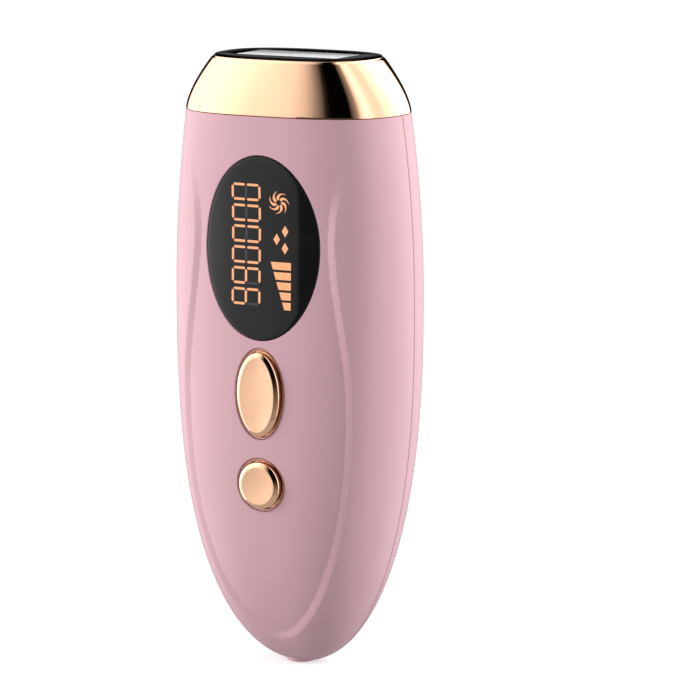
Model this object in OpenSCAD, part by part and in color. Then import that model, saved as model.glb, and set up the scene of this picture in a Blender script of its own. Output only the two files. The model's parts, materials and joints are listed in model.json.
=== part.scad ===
// IPL hair remover: a hand-held flash epilator with a mirror-finish head, a lit display,
// two press buttons, a cooling fan and a DC inlet in its tail.
// Origin: centre of the DC inlet's mouth. +Z runs up to the treatment window, -Y is the front.

/* [Body] */
// Width of the body at its widest
body_w = 70; // [68:0.5:73]
// Height above the inlet at which the body is widest
wide_z = 102; // [98:1:106]
// Height at which the body ends and the head collar begins
neck_z = 150.5; // [149.5:0.5:151.5]
// Greatest depth of the front shell in front of the parting plane
front_depth = 22.7; // [22:0.1:24]
// Height of the front shell's deepest section
front_z = 69; // [66:1:72]
// Greatest depth of the rear shell behind the parting plane
rear_depth = 18.5; // [18:0.1:20]
// Squareness of the body's cross-section (2 is an ellipse)
section_power = 2.6; // [2.5:0.05:2.8]
// Wall thickness of the moulded shells
wall = 2; // [1.8:0.1:2.1]

/* [Head] */
// Half width of the head's top rim
rim_w = 23.5; // [23:0.1:24.5]
// Depth of the top rim in front of the parting plane
rim_front = 16.1; // [15.6:0.1:16.6]
// Depth of the top rim behind the parting plane
rim_rear = 14.3; // [14:0.1:15]
// Height of the treatment face
face_z = 165.5; // [165:0.1:166]
// Length of the treatment window's glass
glass_l = 31.4; // [30:0.1:31.6]
// Width of the treatment window's glass
glass_w = 13.3; // [12.5:0.1:13.5]

/* [Front] */
// Height of the display's centre
display_z = 115.8; // [115:0.1:116.2]
// Half width of the display lens
display_rx = 17.4; // [16.8:0.1:17.6]
// Half height of the display lens
display_rz = 24.5; // [24:0.1:24.6]
// Height of the flash button's centre
flash_z = 76.9; // [76.5:0.1:77.1]
// Half width of the flash button's cap
flash_rx = 6.6; // [6.2:0.1:6.8]
// Half height of the flash button's cap
flash_rz = 11.3; // [11:0.1:11.5]
// Height of the level button's centre
level_z = 52.3; // [52:0.1:52.6]
// Radius of the level button's cap
level_r = 6.3; // [6:0.1:6.5]
// Travel of both buttons
press = 0.5; // [0.3:0.05:0.5]

/* [Inlet] */
// Bore radius of the inlet collar, a lead-in for the barrel of a 5.5 mm plug
inlet_r = 3.2; // [3.15:0.01:3.22]
// Radius of the jack's centre pin, for a 2.1 mm socket
pin_r = 1; // [0.95:0.01:1.02]

/* [Cooling] */
// Outer size of the square fan
fan_size = 30; // [29:0.5:30]
// Radius swept by the fan's blades
fan_r = 13.3; // [12.5:0.1:13.4]
// Number of fan blades
fan_blades = 7; // [5:1:9]
// Number of heat sink fins
fin_count = 12; // [8:1:12]

/* [Hidden] */
$fn = 48;
eps = 0.01;
split_y = 1.2;
tip_z = -0.3;
fit_gap = 0.2;

// Lofting steps
tail_rings = 22;
neck_rings = 6;
arc_steps = 20;
collar_rings = 7;

// Inlet
inlet_collar_r = inlet_r + 0.6;
barrel_r = 2.85;
barrel_z = 2.6;
inlet_collar_l = 1.8;
inlet_hole_r = inlet_collar_r + 0.05;
jack_nose_z = 8;
pin_tip_z = 3;
pin_root_z = 12;
jack_top_z = 22;

// Front controls
board_front_y = -13.5;
board_t = 1.2;
flash_ring_rx = flash_rx + 0.95;
flash_ring_rz = flash_rz + 0.9;
level_ring_r = level_r + 0.95;
ring_gap = 0.25;
ring_front_y = -21.15;
ring_back_y = -19.4;
cap_proud = 1;
flash_flange_y = -18.9;
level_flange_y = -18.5;
flange_t = 0.8;
stem_end_y = -17.55;
switch_w = 6;
switch_face_y = -17;
plunger_r = 1.6;

// Main board
main_front_y = -5.5;
main_back_y = -3.9;
main_top_z = 92;

// Case screws: [x, z, y of the head's seat]
case_screws_at = [[13, 22, 5], [21, 134, 9]];
case_boss_r = 3.8;
front_boss_r = 3;
// Control board screws: [x, z]
board_screws_at = [[13.5, 64], [13, 139.5]];
standoffs_at = [[14, 47], [14, 89]];

// Head
collar_base_z = neck_z + 0.2;
collar_top_z = face_z - 0.4;
collar_wall = 1.6;
bezel_bottom_z = face_z - 2.9;
glass_seat_z = face_z - 2.3;
glass_t = 2.2;
window_y = 0.5;
lamp_z = 155.5;
lamp_r = 2.5;
frame_base_z = 146;
frame_half_x = 19;
frame_half_y = 9;

// Fan
fan_z = 112;
fan_front_y = 7.9;
fan_back_y = 15.9;
fan_bore_r = fan_r + 0.5;
fan_screw_pitch = 25;
hub_r = 6.5;
shaft_r = 0.75;
duct_top_z = 133.5;

// ---------------------------------------------------------------- body form

// Rounded growth from the tail (0) to the widest section (1)
function swell(z, z_full, power, root) =
    pow(1 - pow((z_full - z) / (z_full - tip_z), power), 1 / root);

// Gentle narrowing from the widest section to the neck
function narrow(z, z_full, loss, power) =
    1 - loss * pow((z - z_full) / (neck_z - z_full), power);

function half_w(z) = body_w / 2
    * (z < wide_z ? swell(z, wide_z, 2.5, 2.1) : narrow(z, wide_z, 0.1, 2));
function front_d(z) = front_depth
    * (z < front_z ? swell(z, front_z, 2.75, 1.9) : narrow(z, front_z, 0.115, 1.4));
function rear_d(z) = rear_depth
    * (z < wide_z ? swell(z, wide_z, 1.75, 2.1) : narrow(z, wide_z, 0.066, 2.1));

function powered(value) = sign(value) * pow(abs(value), 2 / section_power);

// One point of a superellipse, t in degrees
function rim_point(a, b, t) = [a * powered(cos(t)), b * powered(sin(t))];

// Fraction of the depth left at a distance x from the middle
function crown(x, z) = pow(1 - pow(min(abs(x) / half_w(z), 1), section_power), 1 / section_power);
function front_y(x, z) = split_y - front_d(z) * crown(x, z);
function rear_y(x, z) = split_y + rear_d(z) * crown(x, z);

// Heights of the shell's rings, closer together at the rounded tail
shell_base_z = tip_z + 0.25;
shell_heights = concat(
    [for (i = [0:tail_rings]) shell_base_z + (wide_z - shell_base_z) * (1 - cos(90 * i / tail_rings))],
    [for (i = [1:neck_rings]) wide_z + (neck_z - wide_z) * i / neck_rings]
);
shell_rings = len(shell_heights);
tail_floor = 4.2;

// How far up the body a height lies, as the share left to the neck
function left_to_neck(z) = 1 - (z - tip_z) / (neck_z - tip_z);
function inner_z(z) = z + tail_floor * left_to_neck(z);

// Half of a closed loft between an outer and an inner skin; side is -1 for the front
module half_shell(side) {
    arc = [for (j = [0:arc_steps]) 180 * j / arc_steps];
    outer = [for (z = shell_heights, t = arc)
        let (p = rim_point(half_w(z), side < 0 ? front_d(z) : rear_d(z), t))
        [p[0], split_y + side * p[1], z]];
    inner = [for (z = shell_heights, t = arc)
        let (zi = inner_z(z))
        let (zs = zi - wall * left_to_neck(z))
        let (p = rim_point(half_w(zs) - wall, (side < 0 ? front_d(zs) : rear_d(zs)) - wall, t))
        [p[0], split_y + side * p[1], zi]];
    row = arc_steps + 1;
    count = shell_rings * row;
    last = (shell_rings - 1) * row;
    skin = [for (i = [0:shell_rings - 2], j = [0:arc_steps - 1])
        [i * row + j, i * row + j + 1, (i + 1) * row + j + 1, (i + 1) * row + j]];
    skin_tris = [for (q = skin, k = [0, 1]) k == 0 ? [q[0], q[1], q[2]] : [q[0], q[2], q[3]]];
    lining_tris = [for (t = skin_tris) [count + t[0], count + t[2], count + t[1]]];
    seam_tris = [for (i = [0:shell_rings - 2], j = [0, arc_steps], k = [0, 1])
        let (a = i * row + j, b = a + row)
        let (t = k == 0 ? [a, b, count + b] : [a, count + b, count + a])
        j == 0 ? t : [t[0], t[2], t[1]]];
    top_tris = [for (j = [0:arc_steps - 1], k = [0, 1])
        let (a = last + j, b = a + 1)
        k == 0 ? [a, b, count + b] : [a, count + b, count + a]];
    floor_outer = [for (j = [arc_steps:-1:0]) j];
    floor_inner = [for (j = [0:arc_steps]) count + j];
    floor_seam = [0, count, count + arc_steps, arc_steps];
    faces = concat(skin_tris, lining_tris, seam_tris, top_tris,
        [floor_outer, floor_inner, floor_seam]);
    flipped = [for (f = faces) [for (k = [len(f) - 1:-1:0]) f[k]]];
    polyhedron(concat(outer, inner), side < 0 ? faces : flipped, convexity = 8);
}

// ---------------------------------------------------------------- shared shapes

// Cylinder along Y from y0 to y1
module y_rod(x, z, y0, y1, r) {
    translate([x, y0, z])
        rotate([-90, 0, 0])
            cylinder(h = y1 - y0, r = r);
}

// Cylinder along X from x0 to x1
module x_rod(x0, x1, y, z, r) {
    translate([x0, y, z])
        rotate([0, 90, 0])
            cylinder(h = x1 - x0, r = r);
}

// Elliptical prism along Y
module y_oval(z, y0, y1, rx, rz) {
    translate([0, y0, z])
        rotate([-90, 0, 0])
            scale([rx, rz, 1])
                cylinder(h = y1 - y0, r = 1, $fn = 96);
}

module box(low, high) {
    translate(low)
        cube(high - low);
}

// Slot with round ends through the wall along Y
module y_slot(x, z, y0, y1, length, width, along_x) {
    reach = (length - width) / 2;
    dx = along_x ? reach : 0;
    dz = along_x ? 0 : reach;
    y_rod(x - dx, z - dz, y0, y1, width / 2);
    y_rod(x + dx, z + dz, y0, y1, width / 2);
    half_x = along_x ? reach : width / 2;
    half_z = along_x ? width / 2 : reach;
    box([x - half_x, y0, z - half_z], [x + half_x, y1, z + half_z]);
}

// Insulated lead that runs through a list of points; its straight lengths overlap at each bend
module lead(points, r) {
    last = len(points) - 1;
    for (i = [0:last - 1]) {
        step = points[i + 1] - points[i];
        length = norm(step);
        before = i == 0 ? 0 : r * 0.6;
        after = i == last - 1 ? 0 : r * 0.6;
        translate(points[i])
            rotate([0, acos(step[2] / length), atan2(step[1], step[0])])
                translate([0, 0, -before])
                    cylinder(h = length + before + after, r = r);
    }
}

// Pan-head screw along Y: head behind seat_y, shank in front of it
module y_screw(x, z, seat_y, length, shank_r, head_r, head_t) {
    difference() {
        union() {
            y_rod(x, z, seat_y - length, seat_y + eps, shank_r);
            y_rod(x, z, seat_y, seat_y + head_t, head_r);
        }
        box([x - head_r * 0.6, seat_y + head_t * 0.5, z - 0.25],
            [x + head_r * 0.6, seat_y + head_t + 1, z + 0.25]);
        box([x - 0.25, seat_y + head_t * 0.5, z - head_r * 0.6],
            [x + 0.25, seat_y + head_t + 1, z + head_r * 0.6]);
    }
}

// Closed superellipse outline about the parting plane
module head_outline(half_x, front, rear) {
    steps = 64;
    polygon([for (k = [0:steps - 1])
        let (t = 360 * k / steps)
        let (p = rim_point(half_x, sin(t) < 0 ? front : rear, t))
        [p[0], split_y + p[1]]]);
}

// ---------------------------------------------------------------- shells

module tail_hole() {
    translate([0, 0, -5])
        cylinder(h = 15, r = inlet_hole_r);
}

module front_shell() {
    color("rosybrown")
    difference() {
        union() {
            half_shell(-1);
            for (s = [-1, 1], at = case_screws_at)
                y_rod(s * at[0], at[1], front_y(at[0] + front_boss_r, at[1]) + 0.6,
                    split_y, front_boss_r);
            for (s = [-1, 1], at = board_screws_at)
                y_rod(s * at[0], at[1], front_y(at[0] + 2.2, at[1]) + 0.6,
                    board_front_y, 2.2);
        }
        y_oval(display_z, -30, -14, display_rx + fit_gap, display_rz + fit_gap);
        y_oval(flash_z, -30, -14, flash_ring_rx + 0.05, flash_ring_rz + 0.05);
        y_rod(0, level_z, -30, -14, level_ring_r + 0.05);
        tail_hole();
        for (s = [-1, 1], at = case_screws_at)
            y_rod(s * at[0], at[1], at[2] - 11, split_y + 1, 1.3);
        for (s = [-1, 1], at = board_screws_at)
            y_rod(s * at[0], at[1], board_front_y - 3.8, board_front_y + 1, 1.05);
    }
}

// Widest chord of the round grille at a height above the fan's centre
function grille_chord(dz) = 2 * sqrt(pow(fan_r, 2) - dz * dz);

module rear_shell() {
    color("rosybrown")
    difference() {
        union() {
            half_shell(1);
            for (s = [-1, 1], at = case_screws_at)
                y_rod(s * at[0], at[1], split_y,
                    rear_y(at[0] + case_boss_r, at[1]) - 0.6, case_boss_r);
            for (sx = [-1, 1], sz = [-1, 1])
                y_rod(sx * fan_screw_pitch / 2, fan_z + sz * fan_screw_pitch / 2,
                    fan_back_y, fan_back_y + 1.6, 2);
        }
        for (s = [-1, 1], at = case_screws_at) {
            y_rod(s * at[0], at[1], split_y - 1, 30, 1.4);
            y_rod(s * at[0], at[1], at[2], 30, 2.6);
        }
        for (dz = [-10.8:3.6:10.8])
            y_slot(0, fan_z + dz, 12, 25, grille_chord(dz), 1.8, true);
        for (k = [-4:4])
            y_slot(k * 3.8, 141, 12, 25, 9 - abs(k) * 0.6, 1.6, false);
        for (sx = [-1, 1], sz = [-1, 1])
            y_rod(sx * fan_screw_pitch / 2, fan_z + sz * fan_screw_pitch / 2,
                fan_back_y - 1, fan_back_y + 1.5, 1.05);
        tail_hole();
    }
}

// ---------------------------------------------------------------- head

// Share of the way from the collar's base section to the top rim
function collar_share(u) = pow(u, 1.5);

function collar_section(u, inset, t) =
    let (k = collar_share(u))
    let (a = half_w(neck_z) * (1 - k) + rim_w * k - inset)
    let (b = sin(t) < 0
        ? front_d(neck_z) * (1 - k) + rim_front * k - inset
        : rear_d(neck_z) * (1 - k) + rim_rear * k - inset)
    let (p = rim_point(a, b, t))
    [p[0], split_y + p[1], collar_base_z + (collar_top_z - collar_base_z) * u];

module head_collar() {
    steps = 2 * arc_steps;
    angles = [for (j = [0:steps - 1]) 360 * j / steps];
    shares = [for (i = [0:collar_rings]) i / collar_rings];
    outer = [for (u = shares, t = angles) collar_section(u, 0, t)];
    inner = [for (u = shares, t = angles) collar_section(u, collar_wall, t)];
    count = len(outer);
    last = collar_rings * steps;
    wall_tris = [for (i = [0:collar_rings - 1], j = [0:steps - 1], k = [0, 1])
        let (a = i * steps + j, b = i * steps + (j + 1) % steps)
        k == 0 ? [a, b + steps, b] : [a, a + steps, b + steps]];
    lining_tris = [for (t = wall_tris) [count + t[0], count + t[2], count + t[1]]];
    rim_tris = [for (j = [0:steps - 1], k = [0, 1])
        let (a = last + j, b = last + (j + 1) % steps)
        k == 0 ? [a, count + b, b] : [a, count + a, count + b]];
    base_tris = [for (j = [0:steps - 1], k = [0, 1])
        let (a = j, b = (j + 1) % steps)
        k == 0 ? [a, b, count + b] : [a, count + b, count + a]];
    color("peachpuff")
        polyhedron(concat(outer, inner), concat(wall_tris, lining_tris, rim_tris, base_tris));
}

module head_bezel() {
    inset = collar_wall + 0.15;
    color([0.03, 0.03, 0.03])
    difference() {
        union() {
            translate([0, 0, bezel_bottom_z])
                linear_extrude(collar_top_z - bezel_bottom_z)
                    head_outline(rim_w - inset, rim_front - inset, rim_rear - inset);
            translate([0, 0, collar_top_z])
                linear_extrude(face_z - collar_top_z)
                    head_outline(rim_w - 0.3, rim_front - 0.3, rim_rear - 0.3);
        }
        box([-glass_l / 2 - 0.1, window_y - glass_w / 2 - 0.1, glass_seat_z],
            [glass_l / 2 + 0.1, window_y + glass_w / 2 + 0.1, face_z + 1]);
        box([-glass_l / 2 + 1.2, window_y - glass_w / 2 + 1.2, bezel_bottom_z - 1],
            [glass_l / 2 - 1.2, window_y + glass_w / 2 - 1.2, face_z]);
    }
}

module filter_glass() {
    color([0.85, 0.87, 0.9, 0.5])
        box([-glass_l / 2, window_y - glass_w / 2, glass_seat_z],
            [glass_l / 2, window_y + glass_w / 2, glass_seat_z + glass_t]);
}

module head_plate() {
    inset = wall + 0.5;
    plate_z = neck_z - 2.5;
    color([0.08, 0.08, 0.09])
    difference() {
        translate([0, 0, plate_z])
            linear_extrude(2)
                head_outline(half_w(neck_z) - inset, front_d(neck_z) - inset,
                    rear_d(neck_z) - inset);
        box([-frame_half_x - 0.1, window_y - frame_half_y - 0.1, plate_z - 1],
            [frame_half_x + 0.1, window_y + frame_half_y + 0.1, plate_z + 3]);
        for (s = [-1, 1])
            translate([s * 22.4, window_y, plate_z - 1])
                cylinder(h = 4, r = 2.6);
    }
}

module lamp_frame() {
    color([0.15, 0.15, 0.16])
    difference() {
        box([-frame_half_x, window_y - frame_half_y, frame_base_z],
            [frame_half_x, window_y + frame_half_y, bezel_bottom_z]);
        box([-17.5, window_y - 7, frame_base_z + 2.5],
            [17.5, window_y + 7, bezel_bottom_z + 1]);
        x_rod(-25, 25, window_y, lamp_z, 1.2);
    }
}

// Half-round trough that faces the window
module trough(r, half_x, top_z) {
    x_rod(-half_x, half_x, window_y, lamp_z, r);
    box([-half_x, window_y - r, lamp_z], [half_x, window_y + r, top_z]);
}

module reflector() {
    color("gainsboro")
    difference() {
        trough(6.4, 15.9, bezel_bottom_z - 0.2);
        trough(5.9, 17, bezel_bottom_z + 1);
    }
}

module flash_lamp() {
    color([0.9, 0.92, 0.95, 0.5])
    difference() {
        x_rod(-17.2, 17.2, window_y, lamp_z, lamp_r);
        x_rod(-15, 15, window_y, lamp_z, lamp_r - 0.6);
        x_rod(-18, 18, window_y, lamp_z, 0.82);
    }
}

module lamp_electrodes() {
    color("silver")
    for (s = [-1, 1])
        union() {
            x_rod(s > 0 ? 11 : -20.9, s > 0 ? 20.9 : -11, window_y, lamp_z, 0.78);
            x_rod(s > 0 ? 10 : -12.5, s > 0 ? 12.5 : -10, window_y, lamp_z, 1.4);
        }
}

module lamp_end_holders() {
    color("whitesmoke")
    for (s = [-1, 1])
        difference() {
            translate([s * 16.7, window_y, (frame_base_z + bezel_bottom_z + 2.4) / 2])
                cube([1.4, 13.6, bezel_bottom_z - frame_base_z - 2.8], center = true);
            x_rod(-17.3, 17.3, window_y, lamp_z, lamp_r + 0.05);
            x_rod(-18, 18, window_y, lamp_z, 1);
        }
}

module lamp_leads() {
    route = [[21.8, window_y, lamp_z], [21.8, window_y, 151.5], [26.8, window_y, 143],
        [26.8, window_y, 98], [17.9, -2.5, 86]];
    color("crimson")
    for (s = [-1, 1])
        lead([for (p = route) [s * p[0], p[1], p[2]]], 0.8);
}

module heat_sink() {
    fin_step = 33 / (fin_count - 1);
    color("silver")
    union() {
        box([-17, window_y - 8.5, frame_base_z - 3], [17, window_y + 8.5, frame_base_z]);
        for (k = [0:fin_count - 1])
            box([-17 + k * fin_step, window_y - 8.5, duct_top_z + 0.5],
                [-16 + k * fin_step, window_y + 8.5, frame_base_z - 3 + eps]);
    }
}

module thermal_cutout() {
    color("dimgray")
        box([-5, window_y - 12, 139], [5, window_y - 8.5, 145]);
}

// ---------------------------------------------------------------- cooling

module air_duct() {
    inner_x = fan_size / 2 - 0.2;
    outer_x = inner_x + 1.2;
    bottom_z = fan_z - fan_size / 2 - 1;
    color([0.2, 0.2, 0.22])
    difference() {
        box([-outer_x, -6, bottom_z], [outer_x, fan_front_y, duct_top_z]);
        box([-inner_x, -4.8, bottom_z + 1.2], [inner_x, fan_front_y + 1, fan_z + fan_size / 2]);
        box([-inner_x, -4.8, fan_z], [inner_x, fan_front_y - 1.2, duct_top_z + 1]);
    }
}

module fan_frame() {
    half = fan_size / 2;
    color([0.1, 0.1, 0.11])
    difference() {
        union() {
            difference() {
                box([-half, fan_front_y, fan_z - half], [half, fan_back_y, fan_z + half]);
                y_rod(0, fan_z, fan_front_y - 1, fan_back_y + 1, fan_bore_r);
            }
            y_rod(0, fan_z, fan_front_y, fan_front_y + 1.2, 6);
            y_rod(0, fan_z, fan_front_y, fan_back_y - 3.2, 2.2);
            for (k = [0:2])
                translate([0, fan_front_y, fan_z])
                    rotate([0, 30 + 120 * k, 0])
                        translate([0, 0, -1])
                            cube([half - 0.8, 1.2, 2]);
        }
        y_rod(0, fan_z, fan_front_y - 1, fan_back_y, shaft_r + 0.05);
        for (sx = [-1, 1], sz = [-1, 1])
            y_rod(sx * fan_screw_pitch / 2, fan_z + sz * fan_screw_pitch / 2,
                fan_front_y - 1, fan_back_y + 1, 1.2);
    }
}

module fan_rotor() {
    hub_front_y = fan_front_y + 1.6;
    hub_back_y = fan_back_y - 0.9;
    blade_mid_y = (hub_front_y + hub_back_y) / 2 + 0.2;
    blade_l = fan_r - hub_r - 0.1;
    color([0.12, 0.12, 0.13])
    union() {
        difference() {
            y_rod(0, fan_z, hub_front_y, hub_back_y, hub_r);
            y_rod(0, fan_z, hub_front_y - 1, hub_back_y - 1, hub_r - 0.8);
        }
        y_rod(0, fan_z, fan_front_y + 0.3, hub_back_y - 0.5, shaft_r);
        for (k = [0:fan_blades - 1])
            translate([0, blade_mid_y, fan_z])
                rotate([0, 360 * k / fan_blades, 0])
                    rotate([38, 0, 0])
                        translate([hub_r - 0.4, -0.4, -2.8])
                            cube([blade_l, 0.8, 5.6]);
    }
}

module fan_screws() {
    color("silver")
    for (sx = [-1, 1], sz = [-1, 1]) {
        x = sx * fan_screw_pitch / 2;
        z = fan_z + sz * fan_screw_pitch / 2;
        y_rod(x, z, fan_front_y - 1, fan_front_y, 1.9);
        y_rod(x, z, fan_front_y - eps, fan_back_y + 1.3, 1);
    }
}

module fan_lead() {
    color("black")
        lead([[10, 9, 96.9], [10, 9, 94], [10, -2.7, 90.6]], 0.8);
}

// ---------------------------------------------------------------- front controls

module display_lens() {
    rings = 6;
    spokes = 32;
    lens_t = 1.4;
    recess = 0.05;
    grid = concat([[0, display_z]],
        [for (k = [1:rings], s = [0:spokes - 1])
            [display_rx * k / rings * cos(360 * s / spokes),
             display_z + display_rz * k / rings * sin(360 * s / spokes)]]);
    face = [for (p = grid) [p[0], front_y(p[0], p[1]) + recess, p[1]]];
    back = [for (p = face) p + [0, lens_t, 0]];
    count = len(grid);
    centre_tris = [for (s = [0:spokes - 1]) [0, 1 + (s + 1) % spokes, 1 + s]];
    band_tris = [for (k = [0:rings - 2], s = [0:spokes - 1], h = [0, 1])
        let (a = 1 + k * spokes + s, b = 1 + k * spokes + (s + 1) % spokes)
        h == 0 ? [a, b, b + spokes] : [a, b + spokes, a + spokes]];
    face_tris = concat(centre_tris, band_tris);
    back_tris = [for (t = face_tris) [count + t[0], count + t[2], count + t[1]]];
    edge = 1 + (rings - 1) * spokes;
    edge_tris = [for (s = [0:spokes - 1], h = [0, 1])
        let (a = edge + s, b = edge + (s + 1) % spokes)
        h == 0 ? [a, b, count + b] : [a, count + b, count + a]];
    color([0.1, 0.1, 0.1])
        polyhedron(concat(face, back), concat(face_tris, back_tris, edge_tris));
}

module display_frame() {
    color([0.1, 0.1, 0.1])
    difference() {
        y_oval(display_z, -17.15, board_front_y, display_rx - 0.3, display_rz - 0.3);
        y_oval(display_z, -20, board_front_y + 1, display_rx - 1.5, display_rz - 1.5);
    }
}

module display_module() {
    color([0.06, 0.07, 0.08])
        box([-10.2, -17.5, display_z - 17], [10.2, board_front_y, display_z + 17]);
}

module control_board() {
    color("darkgreen")
    difference() {
        box([-16.5, board_front_y, 44], [16.5, board_front_y + board_t, 142.5]);
        for (s = [-1, 1], at = board_screws_at)
            y_rod(s * at[0], at[1], board_front_y - 1, board_front_y + 2, 1.2);
        for (s = [-1, 1], at = standoffs_at)
            y_rod(s * at[0], at[1], board_front_y - 1, board_front_y + 2, 1.2);
    }
}

module tact_switches() {
    color([0.25, 0.25, 0.26])
    for (z = [flash_z, level_z])
        difference() {
            box([-switch_w / 2, switch_face_y, z - switch_w / 2],
                [switch_w / 2, board_front_y, z + switch_w / 2]);
            y_rod(0, z, switch_face_y - 1, switch_face_y + 2, plunger_r + 0.1);
        }
}

module plunger(z) {
    y_rod(0, z, stem_end_y, switch_face_y + 1.2, plunger_r);
}

module flash_plunger() {
    color("white")
        plunger(flash_z);
}

module level_plunger() {
    color("white")
        plunger(level_z);
}

// Trim ring around a button
module button_ring(z, rx, rz, bore_rx, bore_rz) {
    color([0.72, 0.5, 0.45])
    difference() {
        y_oval(z, ring_front_y, ring_back_y, rx, rz);
        y_oval(z, ring_front_y - 1, ring_back_y + 1, bore_rx, bore_rz);
    }
}

module flash_button_ring() {
    button_ring(flash_z, flash_ring_rx, flash_ring_rz, flash_rx + ring_gap, flash_rz + ring_gap);
}

module level_button_ring() {
    button_ring(level_z, level_ring_r, level_ring_r, level_r + ring_gap, level_r + ring_gap);
}

// Cap with a chamfered edge and a shallow dish, its retaining flange and its stem
module button(z, rx, rz, flange_front_y) {
    skin_y = front_y(0, z);
    face_y = skin_y - cap_proud;
    chamfer = 1.2;
    depth = flange_front_y - face_y;
    color([0.95, 0.72, 0.58])
    union() {
        translate([0, flange_front_y, z])
            rotate([90, 0, 0])
                scale([rx / rz, 1, 1])
                    rotate_extrude($fn = 64)
                        polygon([[0, 0], [rz, 0], [rz, depth - chamfer],
                            [rz - chamfer, depth], [rz * 0.5, depth - 0.2], [0, depth - 0.25]]);
        y_oval(z, flange_front_y, flange_front_y + flange_t, rx + 1.7, rz + 1.6);
        y_rod(0, z, flange_front_y + flange_t - eps, stem_end_y, 1.5);
    }
}

module flash_button() {
    button(flash_z, flash_rx, flash_rz, flash_flange_y);
}

module level_button() {
    button(level_z, level_r, level_r, level_flange_y);
}

// ---------------------------------------------------------------- electronics

module board_header() {
    color("ivory")
        box([-7, board_front_y + board_t, 84], [7, main_front_y, 88]);
}

module board_standoffs() {
    color("goldenrod")
    for (s = [-1, 1], at = standoffs_at)
        difference() {
            y_rod(s * at[0], at[1], board_front_y + board_t, main_front_y, 2.2);
            y_rod(s * at[0], at[1], -15, 0, 1.05);
        }
}

module board_screws() {
    color("silver")
    for (s = [-1, 1]) {
        for (at = board_screws_at)
            y_screw(s * at[0], at[1], board_front_y + board_t, 4.6, 1, 1.9, 1.1);
        for (at = standoffs_at)
            y_screw(s * at[0], at[1], main_back_y, 4.4, 1, 1.9, 1.1);
    }
}

module main_board() {
    color("darkgreen")
    difference() {
        box([-17, main_front_y, 27], [17, main_back_y, main_top_z]);
        for (s = [-1, 1], at = standoffs_at)
            y_rod(s * at[0], at[1], main_front_y - 1, main_back_y + 1, 1.2);
    }
}

module board_chips() {
    color([0.12, 0.12, 0.13])
    for (c = [[-9, 34, 7, 5], [6, 35, 5, 5], [-9, 40.5, 4, 3]])
        box([c[0] - c[2] / 2, main_back_y, c[1] - c[3] / 2],
            [c[0] + c[2] / 2, main_back_y + 1.6, c[1] + c[3] / 2]);
}

module main_capacitor() {
    cap_r = 8;
    axis_y = main_back_y + cap_r + 0.3;
    color("darkslateblue")
    union() {
        translate([-8.5, axis_y, 46])
            cylinder(h = 38, r = cap_r);
        for (dx = [-3.75, 3.75])
            translate([-8.5 + dx, axis_y, 42.9])
                cylinder(h = 3.2, r = 0.4);
    }
}

transformer_x = 9;
transformer_y = main_back_y + 6.6;
transformer_z = 60;

module transformer_core() {
    color([0.25, 0.25, 0.27])
    translate([transformer_x, transformer_y, transformer_z])
    union() {
        difference() {
            translate([-7.5, -6.5, 0])
                cube([15, 13, 16]);
            translate([-6, -8, 3])
                cube([12, 16, 10]);
        }
        translate([0, 0, 2.9])
            cylinder(h = 10.2, r = 2.5);
    }
}

module transformer_winding() {
    color("peru")
    translate([transformer_x, transformer_y, transformer_z + 3.5])
        difference() {
            cylinder(h = 9, r = 5.7);
            translate([0, 0, -1])
                cylinder(h = 11, r = 2.6);
        }
}

module trigger_coil() {
    color("firebrick")
    translate([9, main_back_y + 4.4, 42])
    union() {
        cylinder(h = 12, r = 3.4);
        cylinder(h = 1.2, r = 4.2);
        translate([0, 0, 10.8])
            cylinder(h = 1.2, r = 4.2);
    }
}

module power_transistor() {
    color([0.1, 0.1, 0.1])
    union() {
        box([1.5, main_back_y, 78], [11.5, main_back_y + 4.4, 84]);
        difference() {
            box([1.5, main_back_y, 84 - eps], [11.5, main_back_y + 1.3, 88]);
            y_rod(6.5, 86, main_back_y - 1, main_back_y + 3, 1.2);
        }
    }
}

// ---------------------------------------------------------------- inlet

module inlet_collar() {
    color("rosybrown")
    difference() {
        cylinder(h = inlet_collar_l, r = inlet_collar_r);
        translate([0, 0, -1])
            cylinder(h = inlet_collar_l + 2, r = inlet_r);
    }
}

module dc_jack() {
    color([0.08, 0.08, 0.08])
    difference() {
        union() {
            translate([0, 0, inlet_collar_l])
                cylinder(h = jack_nose_z - inlet_collar_l + eps, r = inlet_collar_r - 0.05);
            box([-4.5, -5, jack_nose_z], [4.5, 4.6, jack_top_z]);
        }
        cylinder(h = pin_root_z + 0.4, r = barrel_r);
        cylinder(h = barrel_z, r = inlet_r + 0.05);
        cylinder(h = pin_root_z + 3, r = pin_r + 0.32);
    }
}

module dc_jack_pin() {
    color("silver")
    union() {
        translate([0, 0, pin_tip_z])
            cylinder(h = pin_root_z - pin_tip_z + eps, r = pin_r);
        translate([0, 0, pin_root_z])
            cylinder(h = 3, r = pin_r + 0.3);
    }
}

module jack_leads() {
    color("crimson")
    for (s = [-1, 1])
        lead([[s * 2, 1, jack_top_z], [s * 2, 1, 25], [s * 2, -3.05, 29]], 0.7);
}

module case_screws() {
    color("dimgray")
    for (s = [-1, 1], at = case_screws_at)
        y_screw(s * at[0], at[1], at[2], 10, 1.25, 2.3, 1.7);
}

// ---------------------------------------------------------------- output

front_shell();
rear_shell();
head_collar();
head_bezel();
filter_glass();
head_plate();
lamp_frame();
reflector();
flash_lamp();
lamp_electrodes();
lamp_end_holders();
lamp_leads();
heat_sink();
thermal_cutout();
air_duct();
fan_frame();
fan_rotor();
fan_screws();
fan_lead();
display_lens();
display_frame();
display_module();
control_board();
tact_switches();
flash_button_ring();
flash_button();
flash_plunger();
level_button_ring();
level_button();
level_plunger();
board_header();
board_standoffs();
board_screws();
main_board();
board_chips();
main_capacitor();
transformer_core();
transformer_winding();
trigger_coil();
power_transistor();
dc_jack();
dc_jack_pin();
inlet_collar();
jack_leads();
case_screws();
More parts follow.
